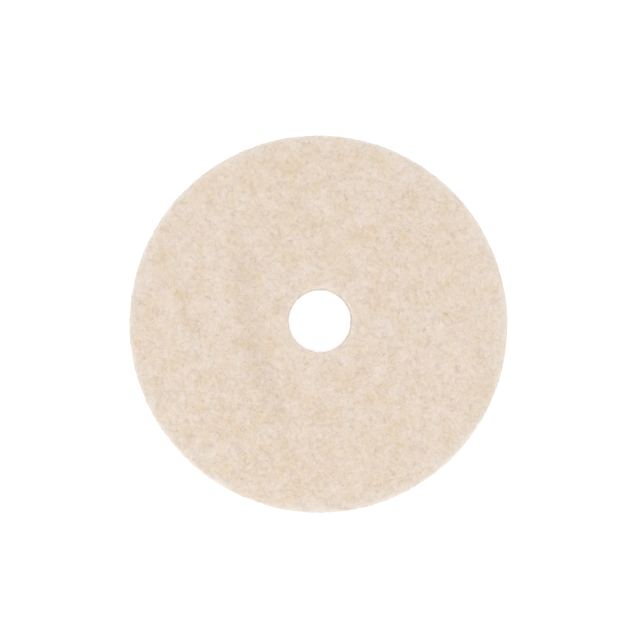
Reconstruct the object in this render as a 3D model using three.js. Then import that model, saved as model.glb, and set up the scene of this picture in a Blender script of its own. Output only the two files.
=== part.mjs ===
// Floor polishing pad: a round slab of lofty nonwoven web, cut from the roll with a steel die
// that stamps the rim and the centre hole together. It is one piece.
// Millimetres, +Z up. The origin is the centre of the face that lies on the floor.

import * as THREE from "three";

// The web and the two cuts
const padDiameter = 508; // fits a 20 inch floor machine
const webThickness = 25.4;
const holeDiameter = 86; // clears the centre lock of the pad driver

// Where the die goes in it drags the face down with it, so that face falls away further
// towards each cut than the face where the die comes out. Reach is measured in from the
// cut, along the face, and drop is measured down from the face, along the cut.
const entryShoulder = { reach: 6, drop: 2.4 };
const exitShoulder = { reach: 2.5, drop: 1 };

// The web is squeezed while it is cut and springs back afterwards, which leaves each cut
// wall a little hollow at mid height.
const wallHollow = 0.8;

// How finely the round forms are drawn
const turnSegments = 120;
const shoulderSegments = 4;
const wallSegments = 4;

const webColour = 0xe6d6c5;
const webRoughness = 0.95;

const quarterTurn = Math.PI / 2;

// A quarter of an ellipse where a face rolls over into a cut. The quarters are counted
// from the outward radial direction towards +Z.
function shoulder(cutRadius, inwards, faceHeight, upwards, size, quarter) {
  const centreX = cutRadius + inwards * size.reach;
  const centreY = faceHeight - upwards * size.drop;
  const start = quarter * quarterTurn;
  const arc = new THREE.EllipseCurve(
    centreX,
    centreY,
    size.reach,
    size.drop,
    start,
    start + quarterTurn,
  );
  return arc.getPoints(shoulderSegments);
}

// The hollow cut wall between two shoulders, without its end points, which the shoulders
// already have.
function cutWall(from, to, inwards) {
  const middle = new THREE.Vector2(
    from.x + inwards * 2 * wallHollow,
    (from.y + to.y) / 2,
  );
  return new THREE.QuadraticBezierCurve(from, middle, to)
    .getPoints(wallSegments)
    .slice(1, -1);
}

// The section through one side of the pad, in radius and height, once round it from the
// hole's edge of the floor face.
function padSection() {
  const rim = padDiameter / 2;
  const hole = holeDiameter / 2;
  const rimExit = shoulder(rim, -1, 0, -1, exitShoulder, 3);
  const rimEntry = shoulder(rim, -1, webThickness, 1, entryShoulder, 0);
  const holeEntry = shoulder(hole, 1, webThickness, 1, entryShoulder, 1);
  const holeExit = shoulder(hole, 1, 0, -1, exitShoulder, 2);
  const section = [
    ...rimExit,
    ...cutWall(rimExit.at(-1), rimEntry[0], -1),
    ...rimEntry,
    ...holeEntry,
    ...cutWall(holeEntry.at(-1), holeExit[0], 1),
    ...holeExit,
  ];
  section.push(section[0].clone());
  return section;
}

// The lathe turns its profile about Y, so the slab is laid down to put that axis on +Z.
function webSlab() {
  const slab = new THREE.LatheGeometry(padSection(), turnSegments);
  slab.rotateX(quarterTurn);
  return slab;
}

const webMaterial = new THREE.MeshStandardMaterial({
  color: webColour,
  roughness: webRoughness,
  metalness: 0,
});

const pad = new THREE.Mesh(webSlab(), webMaterial);
pad.name = "pad";

const floorPad = new THREE.Group();
floorPad.add(pad);

export default floorPad;
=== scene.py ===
# Floor polishing pad: a slab of lofty nonwoven web, die cut to a disc with a centre hole.
# Metres, +Z up. The origin is the centre of the face that lies on the floor.

import math

import bpy
from mathutils import Matrix, Vector


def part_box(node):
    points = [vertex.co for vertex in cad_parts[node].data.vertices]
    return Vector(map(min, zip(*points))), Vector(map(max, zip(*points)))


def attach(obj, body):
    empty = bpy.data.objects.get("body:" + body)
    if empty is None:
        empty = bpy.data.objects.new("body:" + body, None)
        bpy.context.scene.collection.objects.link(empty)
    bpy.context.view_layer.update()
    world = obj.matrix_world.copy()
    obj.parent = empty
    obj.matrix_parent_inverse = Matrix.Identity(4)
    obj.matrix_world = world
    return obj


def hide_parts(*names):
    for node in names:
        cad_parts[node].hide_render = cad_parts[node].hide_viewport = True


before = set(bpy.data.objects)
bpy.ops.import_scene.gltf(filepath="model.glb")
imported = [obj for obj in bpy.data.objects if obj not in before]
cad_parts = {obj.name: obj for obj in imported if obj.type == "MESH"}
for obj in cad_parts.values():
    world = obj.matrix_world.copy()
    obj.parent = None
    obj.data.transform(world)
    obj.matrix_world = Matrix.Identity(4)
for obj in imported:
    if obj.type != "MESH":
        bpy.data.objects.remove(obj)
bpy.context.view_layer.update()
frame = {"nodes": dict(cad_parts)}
print("frame loaded:", ", ".join(frame["nodes"]))

mm = 0.001
fullTurn = 2 * math.pi

# The disc's own sizes come from the frame
padLow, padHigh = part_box("pad")
padRadii = [math.hypot(v.co.x, v.co.y) for v in frame["nodes"]["pad"].data.vertices]
disc = {
    "rimRadius": max(padRadii),
    "holeRadius": min(padRadii),
    "thickness": padHigh[2] - padLow[2],
}

# Where each pattern starts in the noise, so that no two run alike, and which way that lies
patternStart = {
    "loft": 0.0, "tuftRelief": 0.2, "layer": 0.5, "clump": 0.7, "drift": 1.1, "paling": 1.9,
    "wander": 2.3, "patch": 3.1, "grain": 4.7, "pore": 5.3,
}
startDirection = (1, 0.61, 0.37)
noiseMiddle = 0.5  # noise runs from 0 to 1


# Node helpers, for geometry and material trees alike

def feed(tree, value, socket):
    if isinstance(value, bpy.types.NodeSocket):
        tree.links.new(value, socket)
    else:
        socket.default_value = value


def addNode(tree, kind, inputs=None, **settings):
    node = tree.nodes.new(kind)
    for name, value in settings.items():
        setattr(node, name, value)
    for name, value in (inputs or {}).items():
        feed(tree, value, node.inputs[name])
    return node


def calc(tree, operation, *values, clamp=False):
    node = addNode(tree, "ShaderNodeMath", operation=operation, use_clamp=clamp)
    for socket, value in zip(node.inputs, values):
        feed(tree, value, socket)
    return node.outputs[0]


def vectorCalc(tree, operation, *values, scale=None):
    node = addNode(tree, "ShaderNodeVectorMath", operation=operation)
    for socket, value in zip(node.inputs, values):
        feed(tree, value, socket)
    if scale is not None:
        feed(tree, scale, node.inputs["Scale"])
    return node.outputs["Value" if operation == "LENGTH" else "Vector"]


def split(tree, vector):
    return addNode(tree, "ShaderNodeSeparateXYZ", {"Vector": vector}).outputs


def join(tree, x, y, z):
    return addNode(tree, "ShaderNodeCombineXYZ", {"X": x, "Y": y, "Z": z}).outputs[0]


def turnAboutZ(tree, vector, angle):
    turned = addNode(tree, "ShaderNodeVectorRotate", {"Vector": vector, "Angle": angle},
                     rotation_type="Z_AXIS")
    return turned.outputs[0]


def flatten(tree, position, share):
    # a pattern read here runs longer in the plane of the web than through it
    return vectorCalc(tree, "MULTIPLY", position, (share, share, 1))


def ramp(tree, value, low, high, toLow=0.0, toHigh=1.0):
    # smooth step from low to high
    node = addNode(tree, "ShaderNodeMapRange", {
        "Value": value, "From Min": low, "From Max": high, "To Min": toLow, "To Max": toHigh,
    }, interpolation_type="SMOOTHSTEP")
    return node.outputs["Result"]


def noise(tree, position, span, detail=2.0, roughness=0.5, start=0.0, output="Fac"):
    # span is the rough width of one blotch, a number or a tree's input
    moved = vectorCalc(tree, "ADD", position, tuple(start * part for part in startDirection))
    scale = 1 / span if isinstance(span, float) else calc(tree, "DIVIDE", 1.0, span)
    node = addNode(tree, "ShaderNodeTexNoise", {
        "Vector": moved, "Scale": scale, "Detail": detail, "Roughness": roughness,
    })
    return node.outputs[output]


def centred(tree, value):
    return calc(tree, "SUBTRACT", value, noiseMiddle)


def centredVector(tree, value):
    return vectorCalc(tree, "SUBTRACT", value, (noiseMiddle,) * 3)


def wholeDivide(tree, index, size):
    # the half keeps rounding from slipping to the number before
    return calc(tree, "FLOOR", calc(tree, "DIVIDE", calc(tree, "ADD", index, 0.5), size))


def fading(tree, distance, strength, reach):
    # falls off from strength at no distance, to about a third of it at reach
    share = calc(tree, "DIVIDE", calc(tree, "MAXIMUM", distance, 0.0), -reach)
    return calc(tree, "MULTIPLY", calc(tree, "EXPONENT", share), strength)


def mixColour(tree, share, first, second):
    # the node names its sockets alike for every kind of value, so the colour ones go by number
    node = addNode(tree, "ShaderNodeMix", {0: share, 6: first, 7: second},
                   data_type="RGBA", clamp_factor=False)
    return node.outputs[2]


def randomNumber(tree, low, high, seed):
    # the node has a low and a high socket for each kind of number
    node = addNode(tree, "FunctionNodeRandomValue", {"Seed": seed}, data_type="FLOAT")
    numbers = [socket for socket in node.inputs if socket.type == "VALUE"]
    feed(tree, low, numbers[0])
    feed(tree, high, numbers[1])
    return next(socket for socket in node.outputs if socket.type == "VALUE")


def keep(tree, geometry, name, value, kind, domain):
    node = addNode(tree, "GeometryNodeStoreNamedAttribute", {
        "Geometry": geometry, "Name": name, "Value": value,
    }, data_type=kind, domain=domain)
    return node.outputs[0]


def kept(tree, name):
    return addNode(tree, "GeometryNodeInputNamedAttribute", {"Name": name}).outputs["Attribute"]


def nearest(tree, surface, value):
    node = addNode(tree, "GeometryNodeSampleNearestSurface", {"Mesh": surface, "Value": value},
                   data_type="FLOAT_VECTOR")
    return node.outputs["Value"]


def newTree(name, sizes):
    # a tree with a named input for each size, and one for the material
    tree = bpy.data.node_groups.new(name, "GeometryNodeTree")
    add = tree.interface.new_socket
    add("Geometry", in_out="INPUT", socket_type="NodeSocketGeometry")
    for label, value in sizes.items():
        kind = "NodeSocketInt" if isinstance(value, int) else "NodeSocketFloat"
        add(label, in_out="INPUT", socket_type=kind)
    add("Material", in_out="INPUT", socket_type="NodeSocketMaterial")
    add("Geometry", in_out="OUTPUT", socket_type="NodeSocketGeometry")
    return tree, tree.nodes.new("NodeGroupInput").outputs


def finishTree(tree, given, geometry):
    smooth = addNode(tree, "GeometryNodeSetShadeSmooth", {"Geometry": geometry}).outputs[0]
    real = addNode(tree, "GeometryNodeRealizeInstances", {"Geometry": smooth}).outputs[0]
    painted = addNode(tree, "GeometryNodeSetMaterial", {
        "Geometry": real, "Material": given["Material"],
    }).outputs[0]
    addNode(tree, "NodeGroupOutput", {"Geometry": painted})


def growMesh(name, base, tree, sizes, material):
    # runs a tree on a mesh and keeps the result as a plain mesh
    piece = bpy.data.objects.new(name, base)
    bpy.context.scene.collection.objects.link(piece)
    modifier = piece.modifiers.new(tree.name, "NODES")
    modifier.node_group = tree
    inputs = {**sizes, "Material": material}
    for item in tree.interface.items_tree:
        if item.in_out == "INPUT" and item.name in inputs:
            modifier[item.identifier] = inputs[item.name]
    evaluated = piece.evaluated_get(bpy.context.evaluated_depsgraph_get())
    grown = bpy.data.meshes.new_from_object(evaluated)
    piece.modifiers.remove(modifier)
    piece.data = grown
    grown.name = name
    triangles = sum(len(face.vertices) - 2 for face in grown.polygons)
    print(f"{name}: {triangles} triangles")
    return piece


# The web itself. The shoulders and the hollow of the cut walls are those of the CAD model.
web = {
    "faceSteps": 68,
    "shoulderSteps": 5,
    "wallSteps": 20,
    "entryReach": 6 * mm,
    "entryDrop": 2.4 * mm,
    "exitReach": 2.5 * mm,
    "exitDrop": 1 * mm,
    "wallHollow": 0.8 * mm,
    "seamDistance": 0.001 * mm,
    "layerStretch": 0.14,  # the layers' noise, in the plane of the web against through it
    "underFacing": (-0.4, -0.8),  # where the under face starts and is full, by its normal's Z
    "wallFacing": (0.8, 0.3),
    "sizes": {
        "Turn Segments": 480,
        "Loft Span": 46 * mm,
        "Loft Depth": 0.6 * mm,
        "Tuft Span": 9 * mm,
        "Tuft Depth": 0.2 * mm,
        "Layer Span": 2.4 * mm,
        "Layer Depth": 1.3 * mm,
    },
}


def shoulder(cutRadius, inwards, faceHeight, upwards, reach, drop, quarter):
    # a quarter of an ellipse, without its last point
    centreRadius = cutRadius + inwards * reach
    centreHeight = faceHeight - upwards * drop
    points = []
    for step in range(web["shoulderSteps"]):
        angle = (quarter + step / web["shoulderSteps"]) * fullTurn / 4
        points.append((centreRadius + reach * math.cos(angle), centreHeight + drop * math.sin(angle)))
    return points


def cutWall(cutRadius, inwards, fromHeight, toHeight):
    # deepest in the middle, along a parabola
    points = []
    for step in range(web["wallSteps"]):
        share = step / web["wallSteps"]
        hollow = web["wallHollow"] * 4 * share * (1 - share)
        points.append((cutRadius + inwards * hollow, fromHeight + (toHeight - fromHeight) * share))
    return points


def webFace(fromRadius, toRadius, height):
    steps = web["faceSteps"]
    return [(fromRadius + (toRadius - fromRadius) * step / steps, height) for step in range(steps)]


def sectionMesh():
    # once round the section of the pad, from the hole's edge of the under face
    rim = disc["rimRadius"]
    hole = disc["holeRadius"]
    top = disc["thickness"]
    entryReach, entryDrop = web["entryReach"], web["entryDrop"]
    exitReach, exitDrop = web["exitReach"], web["exitDrop"]
    points = [
        *webFace(hole + exitReach, rim - exitReach, 0),
        *shoulder(rim, -1, 0, -1, exitReach, exitDrop, 3),
        *cutWall(rim, -1, exitDrop, top - entryDrop),
        *shoulder(rim, -1, top, 1, entryReach, entryDrop, 0),
        *webFace(rim - entryReach, hole + entryReach, top),
        *shoulder(hole, 1, top, 1, entryReach, entryDrop, 1),
        *cutWall(hole, 1, top - entryDrop, exitDrop),
        *shoulder(hole, 1, 0, -1, exitReach, exitDrop, 2),
    ]
    mesh = bpy.data.meshes.new("padSection")
    edges = [(index, (index + 1) % len(points)) for index in range(len(points))]
    mesh.from_pydata([(radius, 0, height) for radius, height in points], edges, [])
    return mesh


def sweepSection(tree, given, here):
    # each column of a grid takes the points of the section, turned about the pad's axis
    section = given["Geometry"]
    size = addNode(tree, "GeometryNodeAttributeDomainSize", {"Geometry": section})
    count = size.outputs["Point Count"]
    rows = calc(tree, "ADD", count, 1)
    columns = calc(tree, "ADD", given["Turn Segments"], 1)
    grid = addNode(tree, "GeometryNodeMeshGrid", {"Vertices X": columns, "Vertices Y": rows})
    index = addNode(tree, "GeometryNodeInputIndex").outputs[0]
    column = wholeDivide(tree, index, rows)
    row = calc(tree, "SUBTRACT", index, calc(tree, "MULTIPLY", column, rows))
    row = calc(tree, "FLOORED_MODULO", calc(tree, "ROUND", row), count)
    angle = calc(tree, "MULTIPLY", calc(tree, "DIVIDE", column, given["Turn Segments"]), fullTurn)
    sample = addNode(tree, "GeometryNodeSampleIndex", {
        "Geometry": section, "Value": here, "Index": row,
    }, data_type="FLOAT_VECTOR", domain="POINT")
    swept = addNode(tree, "GeometryNodeSetPosition", {
        "Geometry": grid.outputs["Mesh"],
        "Position": turnAboutZ(tree, sample.outputs["Value"], angle),
    }).outputs[0]
    return addNode(tree, "GeometryNodeMergeByDistance", {
        "Geometry": swept, "Distance": web["seamDistance"],
    }).outputs[0]


def webRise(tree, given, here, normal):
    # the lofty web swells and sinks, the under face only sinks, and the cuts show its layers
    facing = split(tree, normal)["Z"]
    under = ramp(tree, facing, *web["underFacing"])
    wall = ramp(tree, calc(tree, "ABSOLUTE", facing), *web["wallFacing"])
    sink = calc(tree, "MULTIPLY", under, noiseMiddle)
    loft = noise(tree, here, given["Loft Span"], start=patternStart["loft"])
    tuft = noise(tree, here, given["Tuft Span"], start=patternStart["tuftRelief"])
    layered = flatten(tree, here, web["layerStretch"])
    layer = noise(tree, layered, given["Layer Span"], detail=1.0, start=patternStart["layer"])
    loft = calc(tree, "SUBTRACT", centred(tree, loft), sink)
    tuft = calc(tree, "SUBTRACT", centred(tree, tuft), sink)
    layer = calc(tree, "MULTIPLY", centred(tree, layer), wall)
    rise = calc(tree, "MULTIPLY", loft, given["Loft Depth"])
    rise = calc(tree, "MULTIPLY_ADD", tuft, given["Tuft Depth"], rise)
    return calc(tree, "MULTIPLY_ADD", layer, given["Layer Depth"], rise)


def webTree():
    tree, given = newTree("dieCutWeb", web["sizes"])
    here = addNode(tree, "GeometryNodeInputPosition").outputs[0]
    normal = addNode(tree, "GeometryNodeInputNormal").outputs[0]
    rise = webRise(tree, given, here, normal)
    relief = addNode(tree, "GeometryNodeSetPosition", {
        "Geometry": sweepSection(tree, given, here),
        "Offset": vectorCalc(tree, "SCALE", normal, scale=rise),
    }).outputs[0]
    finishTree(tree, given, relief)
    return tree


# Colours of the web. Every fibre and the web under it take their colour from one pattern in
# the object's own space, so a tuft runs across all of them.
webColour = {
    "pale": (0.802, 0.722, 0.685, 1),
    "tan": (0.722, 0.570, 0.352, 1),
    # the colour of the painted light near both cuts
    "edge": (0.785, 0.73, 0.67, 1),
    # the colour of the painted light on the cut walls
    "cut": (0.95, 0.87, 0.79, 1),
    "tanShare": 0.385,
    "leastTan": -0.3,  # below none, so a pale tuft may pass the pale colour by this
    "tuftSpan": 6 * mm,
    "tuftStrength": 1.08,
    "clumpSpan": 24 * mm,
    "clumpStrength": 0.66,
    "driftSpan": 95 * mm,
    "driftStrength": 0.24,
    "grainSpan": 1.4 * mm,
    "grainStrength": 0.24,
    # painted light near the rim and the hole, for light that comes through the thin edges
    "rimPaintedLight": 0.95,
    "rimPaleReach": 7.3 * mm,
    "holePaintedLight": 0.55,
    "holePaleReach": 6 * mm,
    "palingSpan": 60 * mm,
    "palingEdges": (0.35, 0.65),
    "palingRange": (0.7, 1.3),
    # how much painted light each cut wall gets; the hole's wall lies in shade and gets the most
    "rimWallPaintedLight": 0.45,
    "holeWallPaintedLight": 1.1,
    "wallStart": (0.7, 1.5),  # shares of the entry drop, where the wall's colour starts and is full
    "wallNear": 0.5,  # share of the entry reach
    # painted light and shade on the cut wall's layers, and painted shade in its pores
    "layerPaintedShading": 0.14,
    "poreSpan": 1.6 * mm,
    "poreStretch": 0.6,
    "poreEdges": (0.42, 0.3),
    "porePaintedShade": 0.14,
}

# Painted shade along a crease runs across the upper face, beside the hole. Its middle line
# is x = offset + lean * y + bend * y * y.
creaseShade = {
    "offset": -94 * mm,
    "lean": -0.180,
    "bend": 0.859,
    "halfWidth": 24 * mm,
    "core": 0.15,  # share of the half width that has it in full
    "wanderSpan": 30 * mm,
    "lowEnd": -150 * mm,
    "highEnd": 118 * mm,
    "fade": 45 * mm,
    "depth": 0.6,  # share of the thickness below which there is none
    "patchSpan": 9 * mm,
    "patchEdges": (0.3, 0.6),
    "patchRange": (0.5, 1.0),
    "darkening": 0.05,
}

# The fibre strands that show as grain in the web itself
strandGrain = {
    "along": 9 * mm,
    "across": 0.6 * mm,
    "curl": 5 * mm,
    "curlSpan": 7 * mm,
    "directions": 4,
    "directionStart": 0.31,
    "edges": (0.45, 0.75),
    "colourStrength": 0.05,
    "grainHeight": 0.35,  # the grain's, against the strands'
    "bumpHeight": 0.15 * mm,
}


def tuftField(tree, position):
    return centred(tree, noise(tree, position, webColour["tuftSpan"], detail=3.0, roughness=0.6))


def tanBlend(tree, position):
    # tan natural fibres gather in tufts, the tufts in clumps, and the clumps thin out in places
    clump = noise(tree, position, webColour["clumpSpan"], start=patternStart["clump"])
    drift = noise(tree, position, webColour["driftSpan"], detail=1.0, start=patternStart["drift"])
    tan = calc(tree, "MULTIPLY_ADD", tuftField(tree, position), webColour["tuftStrength"],
               webColour["tanShare"])
    tan = calc(tree, "MULTIPLY_ADD", centred(tree, clump), webColour["clumpStrength"], tan)
    tan = calc(tree, "MULTIPLY_ADD", centred(tree, drift), webColour["driftStrength"], tan)
    return calc(tree, "MAXIMUM", tan, webColour["leastTan"])


def cutPaling(tree, position, fromRim, fromHole):
    # painted light: the web is painted paler towards both cuts, for light that comes through its thin
    # edges, more in some places than in others
    nearRim = fading(tree, fromRim, webColour["rimPaintedLight"], webColour["rimPaleReach"])
    nearHole = fading(tree, fromHole, webColour["holePaintedLight"], webColour["holePaleReach"])
    places = noise(tree, position, webColour["palingSpan"], start=patternStart["paling"])
    uneven = ramp(tree, places, *webColour["palingEdges"], *webColour["palingRange"])
    return calc(tree, "MULTIPLY", calc(tree, "ADD", nearRim, nearHole), uneven, clamp=True)


def wallShare(tree, fromCut, height):
    # 1 on a cut wall, and less up the shoulder above it
    start, full = (disc["thickness"] - share * web["entryDrop"] for share in webColour["wallStart"])
    below = ramp(tree, height, start, full)
    near = ramp(tree, fromCut, web["entryReach"], webColour["wallNear"] * web["entryReach"])
    return calc(tree, "MULTIPLY", near, below)


def paintedCreaseShade(tree, position):
    # painted shade, strongest along its line, in patches, on the upper face only
    x, y, height = split(tree, position)
    slope = calc(tree, "MULTIPLY_ADD", y, creaseShade["bend"], creaseShade["lean"])
    line = calc(tree, "MULTIPLY_ADD", slope, y, creaseShade["offset"])
    wander = noise(tree, position, creaseShade["wanderSpan"], start=patternStart["wander"])
    line = calc(tree, "MULTIPLY_ADD", centred(tree, wander), creaseShade["halfWidth"], line)
    away = calc(tree, "ABSOLUTE", calc(tree, "SUBTRACT", x, line))
    patch = noise(tree, position, creaseShade["patchSpan"], start=patternStart["patch"])
    shade = ramp(tree, away, creaseShade["halfWidth"], creaseShade["core"] * creaseShade["halfWidth"])
    for limit in (
        ramp(tree, y, creaseShade["lowEnd"], creaseShade["lowEnd"] + creaseShade["fade"]),
        ramp(tree, y, creaseShade["highEnd"], creaseShade["highEnd"] - creaseShade["fade"]),
        ramp(tree, height, creaseShade["depth"] * disc["thickness"], disc["thickness"]),
        ramp(tree, patch, *creaseShade["patchEdges"], *creaseShade["patchRange"]),
    ):
        shade = calc(tree, "MULTIPLY", shade, limit)
    return shade


def layerLight(tree, position):
    # a cut shows the layers of the web, with painted light where a layer stands out and painted shade
    # where it sinks, and painted shade in the pores between them
    layered = flatten(tree, position, web["layerStretch"])
    layer = noise(tree, layered, web["sizes"]["Layer Span"], start=patternStart["layer"])
    pitted = flatten(tree, position, webColour["poreStretch"])
    pores = noise(tree, pitted, webColour["poreSpan"], detail=1.0, start=patternStart["pore"])
    pores = ramp(tree, pores, *webColour["poreEdges"])
    # painted light and shade that follow the layers' relief, and painted shade in the pores
    return calc(tree, "MULTIPLY_ADD", centred(tree, layer), webColour["layerPaintedShading"],
                calc(tree, "MULTIPLY", pores, -webColour["porePaintedShade"]))


def strandField(tree, position):
    # stretched noise in each direction, its strands lying another way in the plane of the web
    drift = noise(tree, position, strandGrain["curlSpan"], detail=1.0, output="Color")
    curl = (strandGrain["curl"], strandGrain["curl"], 0)
    curled = vectorCalc(tree, "MULTIPLY_ADD", centredVector(tree, drift), curl, position)
    squeeze = (strandGrain["across"] / strandGrain["along"], 1, 1)
    highest = None
    for direction in range(strandGrain["directions"]):
        angle = math.pi * (direction + 0.5) / strandGrain["directions"]
        stretched = vectorCalc(tree, "MULTIPLY", turnAboutZ(tree, curled, angle), squeeze)
        strands = noise(tree, stretched, strandGrain["across"], detail=1.0,
                        start=strandGrain["directionStart"] * (direction + 1))
        highest = strands if highest is None else calc(tree, "MAXIMUM", highest, strands)
    return ramp(tree, highest, *strandGrain["edges"])


def webPattern():
    # a group of nodes that gives the web's colour, painted light and shade included, and the height of
    # its grain
    tree = bpy.data.node_groups.new("webPattern", "ShaderNodeTree")
    tree.interface.new_socket("Colour", in_out="OUTPUT", socket_type="NodeSocketColor")
    tree.interface.new_socket("Height", in_out="OUTPUT", socket_type="NodeSocketFloat")
    position = addNode(tree, "ShaderNodeTexCoord").outputs["Object"]
    height = split(tree, position)["Z"]
    radius = vectorCalc(tree, "LENGTH", vectorCalc(tree, "MULTIPLY", position, (1, 1, 0)))
    fromRim = calc(tree, "SUBTRACT", disc["rimRadius"], radius)
    fromHole = calc(tree, "SUBTRACT", radius, disc["holeRadius"])
    rimWall = wallShare(tree, fromRim, height)
    holeWall = wallShare(tree, fromHole, height)

    # the cut walls are the palest: the pale ends of the cut fibres, and painted light for the light
    # that comes through the web, most of all on the hole's wall, which lies in shade
    colour = mixColour(tree, tanBlend(tree, position), webColour["pale"], webColour["tan"])
    # painted light, paler towards the rim and the hole
    colour = mixColour(tree, cutPaling(tree, position, fromRim, fromHole), colour, webColour["edge"])
    # painted light on both cut walls
    for wall, wallLightKey in ((rimWall, "rimWallPaintedLight"), (holeWall, "holeWallPaintedLight")):
        share = calc(tree, "MULTIPLY", wall, webColour[wallLightKey])
        colour = mixColour(tree, share, colour, webColour["cut"])

    # light and dark, from the grain, the painted crease shade, and the painted light and shade of the
    # layers and pores in the rim's wall
    strands = strandField(tree, position)
    grain = noise(tree, position, webColour["grainSpan"], start=patternStart["grain"])
    # painted shade along the crease
    paintedShade = calc(tree, "MULTIPLY", paintedCreaseShade(tree, position), creaseShade["darkening"])
    light = calc(tree, "MULTIPLY_ADD", centred(tree, grain), webColour["grainStrength"], 1.0)
    light = calc(tree, "MULTIPLY_ADD", centred(tree, strands), strandGrain["colourStrength"], light)
    light = calc(tree, "MULTIPLY", light, calc(tree, "SUBTRACT", 1.0, paintedShade))
    light = calc(tree, "MULTIPLY_ADD", layerLight(tree, position), rimWall, light)
    addNode(tree, "NodeGroupOutput", {
        "Colour": vectorCalc(tree, "SCALE", colour, scale=light),
        "Height": calc(tree, "MULTIPLY_ADD", grain, strandGrain["grainHeight"], strands),
    })
    return tree


# What is even all over: soft fibre, which scatters light inside the web but not in one strand
webFinish = {
    "Metallic": 0,
    "Roughness": 0.95,
    "Specular IOR Level": 0.15,
    "Sheen Weight": 0.08,
    "Sheen Roughness": 0.5,
    "Subsurface Weight": 0.5,
    "Subsurface Radius": (1.0, 0.85, 0.7),
    "Subsurface Scale": 4 * mm,
}
fibreFinish = {
    "Metallic": 0,
    "Roughness": 0.8,
    "Specular IOR Level": 0.25,
    "Sheen Weight": 0.08,
    "Sheen Roughness": 0.5,
}


def newMaterial(name, finish, pattern):
    material = bpy.data.materials.new(name)
    material.use_nodes = True
    tree = material.node_tree
    shader = tree.nodes["Principled BSDF"].inputs
    for socket, value in finish.items():
        shader[socket].default_value = value
    look = addNode(tree, "ShaderNodeGroup", node_tree=pattern).outputs
    return material, tree, shader, look


def webMaterial(pattern):
    material, tree, shader, look = newMaterial("nonwovenWeb", webFinish, pattern)
    bump = addNode(tree, "ShaderNodeBump", {
        "Height": look["Height"], "Distance": strandGrain["bumpHeight"], "Strength": 1.0,
    })
    feed(tree, look["Colour"], shader["Base Color"])
    feed(tree, bump.outputs[0], shader["Normal"])
    return material


def fibreMaterial(pattern, name, tint, cover, spread):
    # cover is how far the fibre's own dye hides the pattern, spread how much fibres differ
    material, tree, shader, look = newMaterial(name, fibreFinish, pattern)
    strand = addNode(tree, "ShaderNodeAttribute", attribute_name="strand").outputs["Fac"]
    dyed = mixColour(tree, cover, look["Colour"], tint)
    light = calc(tree, "MULTIPLY_ADD", centred(tree, strand), spread, 1.0)
    feed(tree, vectorCalc(tree, "SCALE", dyed, scale=light), shader["Base Color"])
    return material


# Loose fibres on the web. Density is the number on a square metre, and shares weigh the faces.
# A fibre stands up to Proud above the web in its middle, with its ends Buried in it.
paleFibres = {
    "sizes": {
        "Density": 20000.0, "Top Share": 1.0, "Under Share": 0.25, "Wall Share": 0.2,
        "Length": 20 * mm, "Radius": 0.10 * mm, "Spin": math.pi,
        "Crimp Span": 7 * mm, "Crimp Depth": 6 * mm,
        "Proud": 0.22 * mm, "Buried": 0.3 * mm, "Tuft Bias": -2.5, "Seed": 11,
    },
    "dye": {"tint": (0.87, 0.83, 0.79, 1), "cover": 0.45, "spread": 0.06},
}
creamFibres = {
    "sizes": {**paleFibres["sizes"], "Tuft Bias": 0.0, "Seed": 12},
    "dye": {"tint": (0.80, 0.68, 0.56, 1), "cover": 0.3, "spread": 0.08},
}
tanFibres = {
    "sizes": {**paleFibres["sizes"], "Length": 15 * mm, "Tuft Bias": 4.0, "Seed": 13},
    "dye": {"tint": (0.69, 0.50, 0.29, 1), "cover": 0.35, "spread": 0.1},
}
cutFibres = {
    "sizes": {
        "Density": 100000.0, "Top Share": 0.0, "Under Share": 0.0, "Wall Share": 1.0,
        "Length": 12 * mm, "Radius": 0.16 * mm, "Spin": 0.6,
        "Crimp Span": 7 * mm, "Crimp Depth": 5 * mm,
        "Proud": 0.9 * mm, "Buried": 0.4 * mm, "Tuft Bias": 0.0, "Seed": 14,
    },
    "dye": {"tint": (0.92, 0.85, 0.76, 1), "cover": 0.5, "spread": 0.25},
}

# What all the fibres share
fibreShape = {
    "steps": 7,
    "sides": 3,
    "faceFacing": (0.3, 0.7),  # where a face starts and is full, by its normal's Z
    "lengths": (0.6, 1.2),  # least and most, as shares of Length
    "radii": (0.75, 1.25),  # the same of Radius
    "endRadius": 0.5,  # share of the radius in the middle
    "crimpApart": 40.0,  # how far the crimps of two fibres may lie apart in the noise
    "proudShuffle": 7.31,  # makes another random number of a fibre's own
    "spinSeed": 0,
    "lengthSeed": 5,
    "strandSeed": 9,
    "mapCells": 76,  # fibres along one side of the unwrapped map
    "cellFill": 0.8,
}


def fibreWeight(tree, given, here, normal):
    # how thickly the fibres lie, by the way the web faces there and by its tufts
    facing = split(tree, normal)["Z"]
    start, full = fibreShape["faceFacing"]
    up = ramp(tree, facing, start, full)
    down = ramp(tree, facing, -start, -full)
    wall = calc(tree, "SUBTRACT", calc(tree, "SUBTRACT", 1.0, up), down)
    weight = calc(tree, "MULTIPLY", up, given["Top Share"])
    weight = calc(tree, "MULTIPLY_ADD", down, given["Under Share"], weight)
    weight = calc(tree, "MULTIPLY_ADD", wall, given["Wall Share"], weight)
    biased = calc(tree, "MULTIPLY_ADD", tuftField(tree, here), given["Tuft Bias"], 1.0)
    return calc(tree, "MULTIPLY", weight, calc(tree, "MAXIMUM", biased, 0.0))


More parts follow.
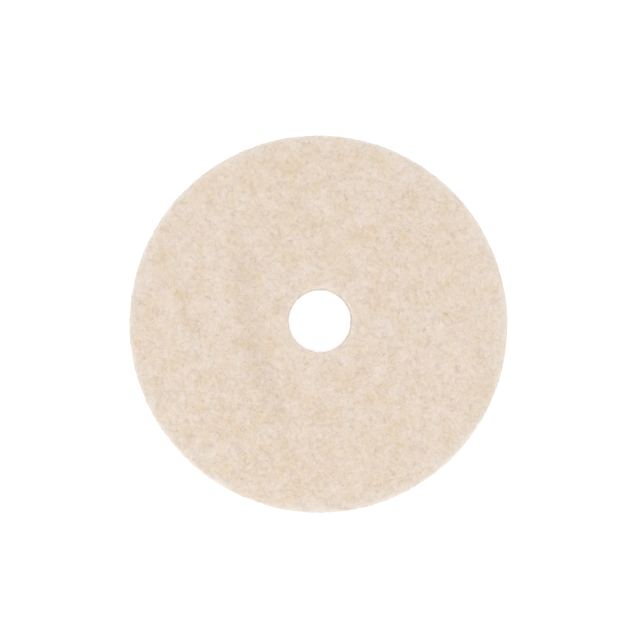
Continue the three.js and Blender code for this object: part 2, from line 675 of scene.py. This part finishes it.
def straightFibres(tree, given, scatter, here):
    # each lies along the rim's direction on its point, and then spins
    sideways = vectorCalc(tree, "CROSS_PRODUCT", (0, 0, 1), here)
    lie = addNode(tree, "FunctionNodeAxesToRotation", {
        "Primary Axis": scatter["Normal"], "Secondary Axis": sideways,
    }, primary_axis="Z", secondary_axis="X")
    least = calc(tree, "MULTIPLY", given["Spin"], -1)
    spin = randomNumber(tree, least, given["Spin"], fibreShape["spinSeed"])
    about = addNode(tree, "FunctionNodeAxisAngleToRotation", {"Axis": (0, 0, 1), "Angle": spin})
    spun = addNode(tree, "FunctionNodeRotateRotation", {
        "Rotation": lie.outputs[0], "Rotate By": about.outputs[0],
    }, rotation_space="LOCAL")

    # the fibre that they copy is one metre long
    line = addNode(tree, "GeometryNodeCurvePrimitiveLine", {"Start": (-0.5, 0, 0), "End": (0.5, 0, 0)})
    stepped = addNode(tree, "GeometryNodeResampleCurve", {
        "Curve": line.outputs[0], "Count": fibreShape["steps"],
    }, mode="COUNT")
    length = randomNumber(tree, *fibreShape["lengths"], fibreShape["lengthSeed"])
    length = calc(tree, "MULTIPLY", length, given["Length"])
    return addNode(tree, "GeometryNodeInstanceOnPoints", {
        "Points": scatter["Points"], "Instance": stepped.outputs[0],
        "Rotation": spun.outputs[0], "Scale": join(tree, length, length, length),
    }).outputs[0]


def crimpFibres(tree, given, fibres, here, strand):
    crimp = addNode(tree, "ShaderNodeTexNoise", {
        "Vector": here, "W": calc(tree, "MULTIPLY", strand, fibreShape["crimpApart"]),
        "Scale": calc(tree, "DIVIDE", 1.0, given["Crimp Span"]), "Detail": 1.0,
    }, noise_dimensions="4D").outputs["Color"]
    bend = vectorCalc(tree, "SCALE", centredVector(tree, crimp), scale=given["Crimp Depth"])
    return addNode(tree, "GeometryNodeSetPosition", {"Geometry": fibres, "Offset": bend}).outputs[0]


def holdFibres(tree, given, fibres, here, normal, strand, arch):
    # the web holds each fibre down by its ends, and none goes through the floor
    shuffled = calc(tree, "FRACT", calc(tree, "MULTIPLY", strand, fibreShape["proudShuffle"]))
    proud = calc(tree, "MULTIPLY", given["Proud"], shuffled)
    lift = calc(tree, "MULTIPLY", arch, calc(tree, "ADD", proud, given["Buried"]))
    lift = calc(tree, "SUBTRACT", lift, given["Buried"])
    foot = nearest(tree, given["Geometry"], here)
    footNormal = nearest(tree, given["Geometry"], normal)
    place = vectorCalc(tree, "ADD", foot, vectorCalc(tree, "SCALE", footNormal, scale=lift))
    held = addNode(tree, "GeometryNodeSetPosition", {"Geometry": fibres, "Position": place})
    x, y, height = split(tree, here)
    place = join(tree, x, y, calc(tree, "MAXIMUM", height, given["Radius"]))
    return addNode(tree, "GeometryNodeSetPosition", {
        "Geometry": held.outputs[0], "Position": place,
    }).outputs[0]


def roundFibres(tree, given, fibres, strand, arch, index):
    # thinner towards both ends, and some thicker than others
    endRadius = fibreShape["endRadius"]
    thinnest, thickest = fibreShape["radii"]
    slim = calc(tree, "MULTIPLY_ADD", arch, 1 - endRadius, endRadius)
    own = calc(tree, "MULTIPLY_ADD", strand, thickest - thinnest, thinnest)
    slim = calc(tree, "MULTIPLY", slim, own)
    ring = addNode(tree, "GeometryNodeCurvePrimitiveCircle", {
        "Resolution": fibreShape["sides"], "Radius": 1.0,
    })
    around = calc(tree, "DIVIDE", index, fibreShape["sides"])
    ring = keep(tree, ring.outputs[0], "around", around, "FLOAT", "POINT")
    return addNode(tree, "GeometryNodeCurveToMesh", {
        "Curve": fibres, "Profile Curve": ring, "Fill Caps": True,
        "Scale": calc(tree, "MULTIPLY", slim, given["Radius"]),
    }).outputs[0]


def fibreCell(tree):
    # each fibre unwraps into a cell of its own
    cell, along, around = (kept(tree, name) for name in ("cell", "along", "around"))
    cells, fill = fibreShape["mapCells"], fibreShape["cellFill"]
    margin = (1 - fill) / 2
    row = wholeDivide(tree, cell, cells)
    column = calc(tree, "SUBTRACT", cell, calc(tree, "MULTIPLY", row, cells))
    u = calc(tree, "MULTIPLY_ADD", along, fill, calc(tree, "ADD", column, margin))
    v = calc(tree, "MULTIPLY_ADD", around, fill, calc(tree, "ADD", row, margin))
    return join(tree, calc(tree, "DIVIDE", u, cells), calc(tree, "DIVIDE", v, cells), 0.0)


def fibreTree():
    tree, given = newTree("looseFibres", paleFibres["sizes"])
    here = addNode(tree, "GeometryNodeInputPosition").outputs[0]
    normal = addNode(tree, "GeometryNodeInputNormal").outputs[0]
    index = addNode(tree, "GeometryNodeInputIndex").outputs[0]
    weight = fibreWeight(tree, given, here, normal)
    scatter = addNode(tree, "GeometryNodeDistributePointsOnFaces", {
        "Mesh": given["Geometry"], "Density": calc(tree, "MULTIPLY", weight, given["Density"]),
        "Seed": given["Seed"],
    }).outputs

    # every fibre keeps a random number, its cell in the map and how far along it a point is
    fibres = straightFibres(tree, given, scatter, here)
    ownNumber = randomNumber(tree, 0.0, 1.0, fibreShape["strandSeed"])
    fibres = keep(tree, fibres, "strand", ownNumber, "FLOAT", "INSTANCE")
    fibres = keep(tree, fibres, "cell", index, "FLOAT", "INSTANCE")
    fibres = addNode(tree, "GeometryNodeRealizeInstances", {"Geometry": fibres}).outputs[0]
    along = addNode(tree, "GeometryNodeSplineParameter").outputs["Factor"]
    fibres = keep(tree, fibres, "along", along, "FLOAT", "POINT")

    strand = kept(tree, "strand")
    arch = calc(tree, "SINE", calc(tree, "MULTIPLY", along, math.pi))
    fibres = crimpFibres(tree, given, fibres, here, strand)
    fibres = holdFibres(tree, given, fibres, here, normal, strand, arch)
    tubes = roundFibres(tree, given, fibres, strand, arch, index)
    finishTree(tree, given, keep(tree, tubes, "OFBake", fibreCell(tree), "FLOAT2", "CORNER"))
    return tree


# The floor, the light and the camera
studio = {
    "floorSize": 8.0,
    "floorPale": 0.94,
    "floorGlow": 0.70,
    "floorShade": 0.38,
    "overhead": 0.75,
    "allRound": 1.2,
    "tentHeights": (0.65, 0.25),  # of a sky one high, from overhead to all round
    "boxPower": 76.0,
    "boxSize": 4.0,
    "boxPlace": (-0.5, -1.5, 4.2),
}
# The photo's camera stands a little off the pad's axis, towards its own lower edge
camera = {
    "distance": 0.95,
    "tilt": math.radians(4.88),
    "towards": math.radians(246.5),
    "lens": 39.86,
    "aim": (-0.3 * mm, 0.2 * mm),
}


def grey(level):
    return (level, level, level, 1)


def seenDirectly(tree):
    path = addNode(tree, "ShaderNodeLightPath").outputs
    seen = calc(tree, "MAXIMUM", path["Is Camera Ray"], path["Is Glossy Ray"])
    return calc(tree, "MAXIMUM", seen, path["Is Transmission Ray"])


def makeFloor():
    # lights the pad as a plain pale floor, and glows white with a faint shadow where it is seen
    half = studio["floorSize"] / 2
    mesh = bpy.data.meshes.new("studioFloor")
    corners = [(-half, -half, 0), (half, -half, 0), (half, half, 0), (-half, half, 0)]
    mesh.from_pydata(corners, [], [(0, 1, 2, 3)])
    floor = bpy.data.objects.new("studioFloor", mesh)
    bpy.context.scene.collection.objects.link(floor)
    material = bpy.data.materials.new("whiteFloor")
    material.use_nodes = True
    tree = material.node_tree
    tree.nodes.clear()
    lit = addNode(tree, "ShaderNodeBsdfDiffuse", {"Color": grey(studio["floorPale"])})
    glow = addNode(tree, "ShaderNodeEmission", {"Color": grey(1), "Strength": studio["floorGlow"]})
    shade = addNode(tree, "ShaderNodeBsdfDiffuse", {"Color": grey(studio["floorShade"])})
    both = addNode(tree, "ShaderNodeAddShader", {0: glow.outputs[0], 1: shade.outputs[0]})
    choice = addNode(tree, "ShaderNodeMixShader", {
        0: seenDirectly(tree), 1: lit.outputs[0], 2: both.outputs[0],
    })
    addNode(tree, "ShaderNodeOutputMaterial", {"Surface": choice.outputs[0]})
    mesh.materials.append(material)
    return floor


def lightStudio():
    # a light tent, brighter all round than overhead, which looks white where it is seen
    world = bpy.data.worlds.new("whiteStudio")
    bpy.context.scene.world = world
    world.use_nodes = True
    tree = world.node_tree
    tree.nodes.clear()
    height = split(tree, addNode(tree, "ShaderNodeTexCoord").outputs["Generated"])["Z"]
    strength = ramp(tree, height, *studio["tentHeights"], studio["overhead"], studio["allRound"])
    tent = addNode(tree, "ShaderNodeBackground", {"Color": grey(1), "Strength": strength})
    white = addNode(tree, "ShaderNodeBackground", {"Color": grey(1), "Strength": 1.0})
    choice = addNode(tree, "ShaderNodeMixShader", {
        0: seenDirectly(tree), 1: tent.outputs[0], 2: white.outputs[0],
    })
    addNode(tree, "ShaderNodeOutputWorld", {"Surface": choice.outputs[0]})

    # and a soft box above it, which faces the pad
    light = bpy.data.lights.new("softBox", "AREA")
    light.size = studio["boxSize"]
    light.energy = studio["boxPower"]
    box = bpy.data.objects.new("softBox", light)
    box.location = studio["boxPlace"]
    box.rotation_euler = (-Vector(studio["boxPlace"])).to_track_quat("-Z", "Y").to_euler()
    box.visible_camera = False
    bpy.context.scene.collection.objects.link(box)


def placeCamera():
    data = bpy.data.cameras.new("photoCamera")
    data.lens = camera["lens"]
    view = bpy.data.objects.new("photoCamera", data)
    bpy.context.scene.collection.objects.link(view)
    top = disc["thickness"]
    sideways = camera["distance"] * math.sin(camera["tilt"])
    place = Vector((
        sideways * math.cos(camera["towards"]),
        sideways * math.sin(camera["towards"]),
        top + camera["distance"] * math.cos(camera["tilt"]),
    ))
    forward = (Vector((*camera["aim"], top)) - place).normalized()
    right = forward.cross(Vector((0, 1, 0))).normalized()  # +Y is up in the picture
    up = right.cross(forward)
    turned = Matrix((right, up, -forward)).transposed().to_4x4()
    view.matrix_world = Matrix.Translation(place) @ turned
    bpy.context.scene.camera = view


bpy.context.scene.view_settings.view_transform = "Standard"
placeCamera()
lightStudio()
makeFloor()
print("studio ready")

pattern = webPattern()
padWeb = growMesh("padWeb", sectionMesh(), webTree(), web["sizes"], webMaterial(pattern))
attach(padWeb, "root")
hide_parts("pad")

looseFibres = fibreTree()
fibreSorts = {
    "paleFibre": paleFibres,
    "creamFibre": creamFibres,
    "tanFibre": tanFibres,
    "cutFibre": cutFibres,
}
for name, sort in fibreSorts.items():
    material = fibreMaterial(pattern, name, **sort["dye"])
    fibres = growMesh(name + "s", padWeb.data.copy(), looseFibres, sort["sizes"], material)
    for helper in ("cell", "along", "around"):
        fibres.data.attributes.remove(fibres.data.attributes[helper])
    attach(fibres, "root")
